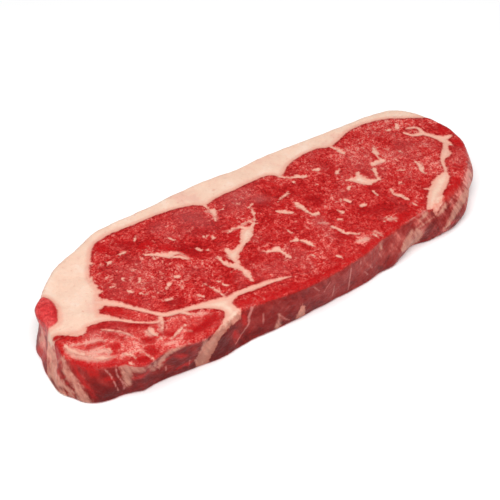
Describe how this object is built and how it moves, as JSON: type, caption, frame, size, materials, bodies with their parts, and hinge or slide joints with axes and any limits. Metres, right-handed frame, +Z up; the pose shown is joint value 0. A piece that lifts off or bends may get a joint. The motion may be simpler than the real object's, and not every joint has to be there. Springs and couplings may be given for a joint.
{
  "type": "beef striploin steak",
  "caption": "Raw beef striploin steak, a thick oval slice of marbled lean meat with a pale fat cap along its back, lying flat on its cut face",
  "frame": {"origin": "middle of the footprint, on the surface that the steak lies on", "axes": "+X along the steak to its round end, +Y to the fat cap, +Z up through the thickness"},
  "size_m": [0.2535, 0.102, 0.0232],
  "materials": {
    "lean_meat": "raw red beef, moist and slightly glossy, with cream marbling",
    "fat": "firm cream-pink fat, satin",
    "rim_meat": "raw red beef, moist and slightly glossy"
  },
  "bodies": {
    "root": {"lean": "lean_meat", "fat_cap": "fat", "rim_muscle": "rim_meat"}
  },
  "joints": []
}
